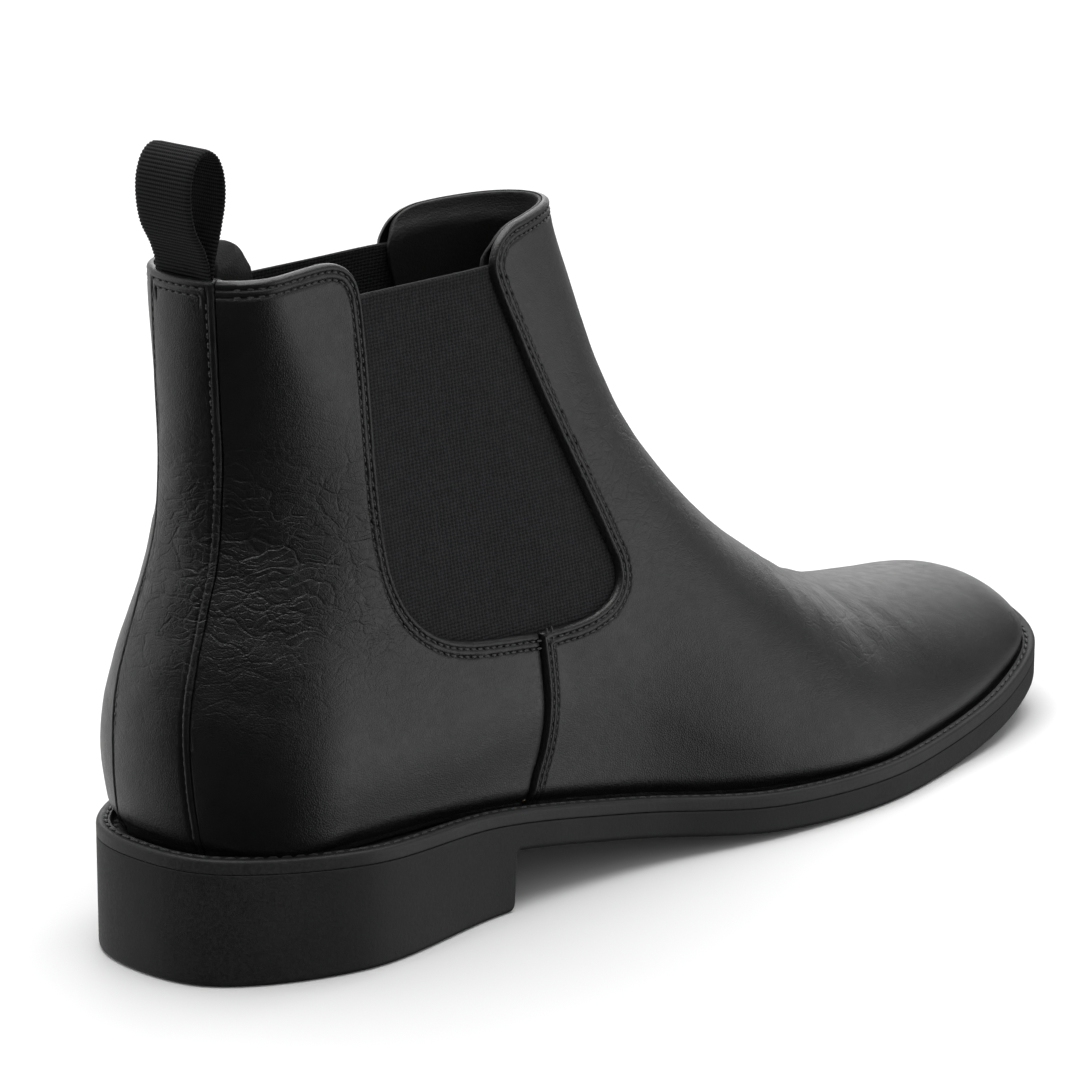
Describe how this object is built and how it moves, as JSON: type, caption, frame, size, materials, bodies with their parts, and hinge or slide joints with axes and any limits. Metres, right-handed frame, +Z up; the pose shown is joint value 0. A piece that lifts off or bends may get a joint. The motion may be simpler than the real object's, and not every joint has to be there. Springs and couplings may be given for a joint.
{
  "type": "chelsea boot",
  "caption": "Black ankle boot for a right foot: smooth leather upper, elastic side panels, webbing pull loop at the back, rubber sole and stacked-height heel.",
  "frame": {"origin": "centre of the heel's flat tread, on the ground", "axes": "+X forward to the toe, +Y to the medial (inner) side of this right boot, +Z up"},
  "size_m": [0.302, 0.102, 0.1829],
  "materials": {
    "upper_leather": "smooth black calf leather, satin gloss with fine grain",
    "elastic": "matt black woven elastic with fine upright ribs",
    "webbing": "black ribbed grosgrain webbing",
    "sole_rubber": "matt black fine-textured rubber",
    "welt_rubber": "matt black rubber with a stitched top ledge",
    "lining": "thin black lining leather",
    "sock_leather": "black lining leather",
    "fibre_board": "tan cellulose board",
    "stiffener": "tan leather board",
    "cork": "ground cork",
    "foam": "grey foam",
    "steel": "plain steel"
  },
  "bodies": {
    "boot": {"outsole_unit": "sole_rubber", "welt": "welt_rubber", "insole_board": "fibre_board", "shank": "steel", "heel_nail_1": "steel", "heel_nail_2": "steel", "heel_nail_3": "steel", "heel_nail_4": "steel", "heel_nail_5": "steel", "shank_rivet_1": "steel", "shank_rivet_2": "steel", "bottom_filler": "cork", "sock_liner": "sock_leather", "heel_pad": "foam", "heel_counter": "stiffener", "toe_puff": "stiffener", "vamp": "upper_leather", "back_strip": "upper_leather", "quarter_lateral": "upper_leather", "quarter_medial": "upper_leather", "gusset_lateral": "elastic", "gusset_medial": "elastic", "heel_lining": "lining", "quarter_lining_lateral": "lining", "quarter_lining_medial": "lining", "vamp_lining": "lining", "pull_loop_tail": "webbing"},
    "loop": {"pull_loop": "webbing"}
  },
  "joints": [
    {"name": "loop_fold", "type": "hinge", "parent": "boot", "child": "loop", "pos_m": [-0.0226, 0, 0.1563], "axis": [0, 1, 0], "range_deg": [-60, 60], "stiffness_Nm_per_rad": 0.01}
  ]
}
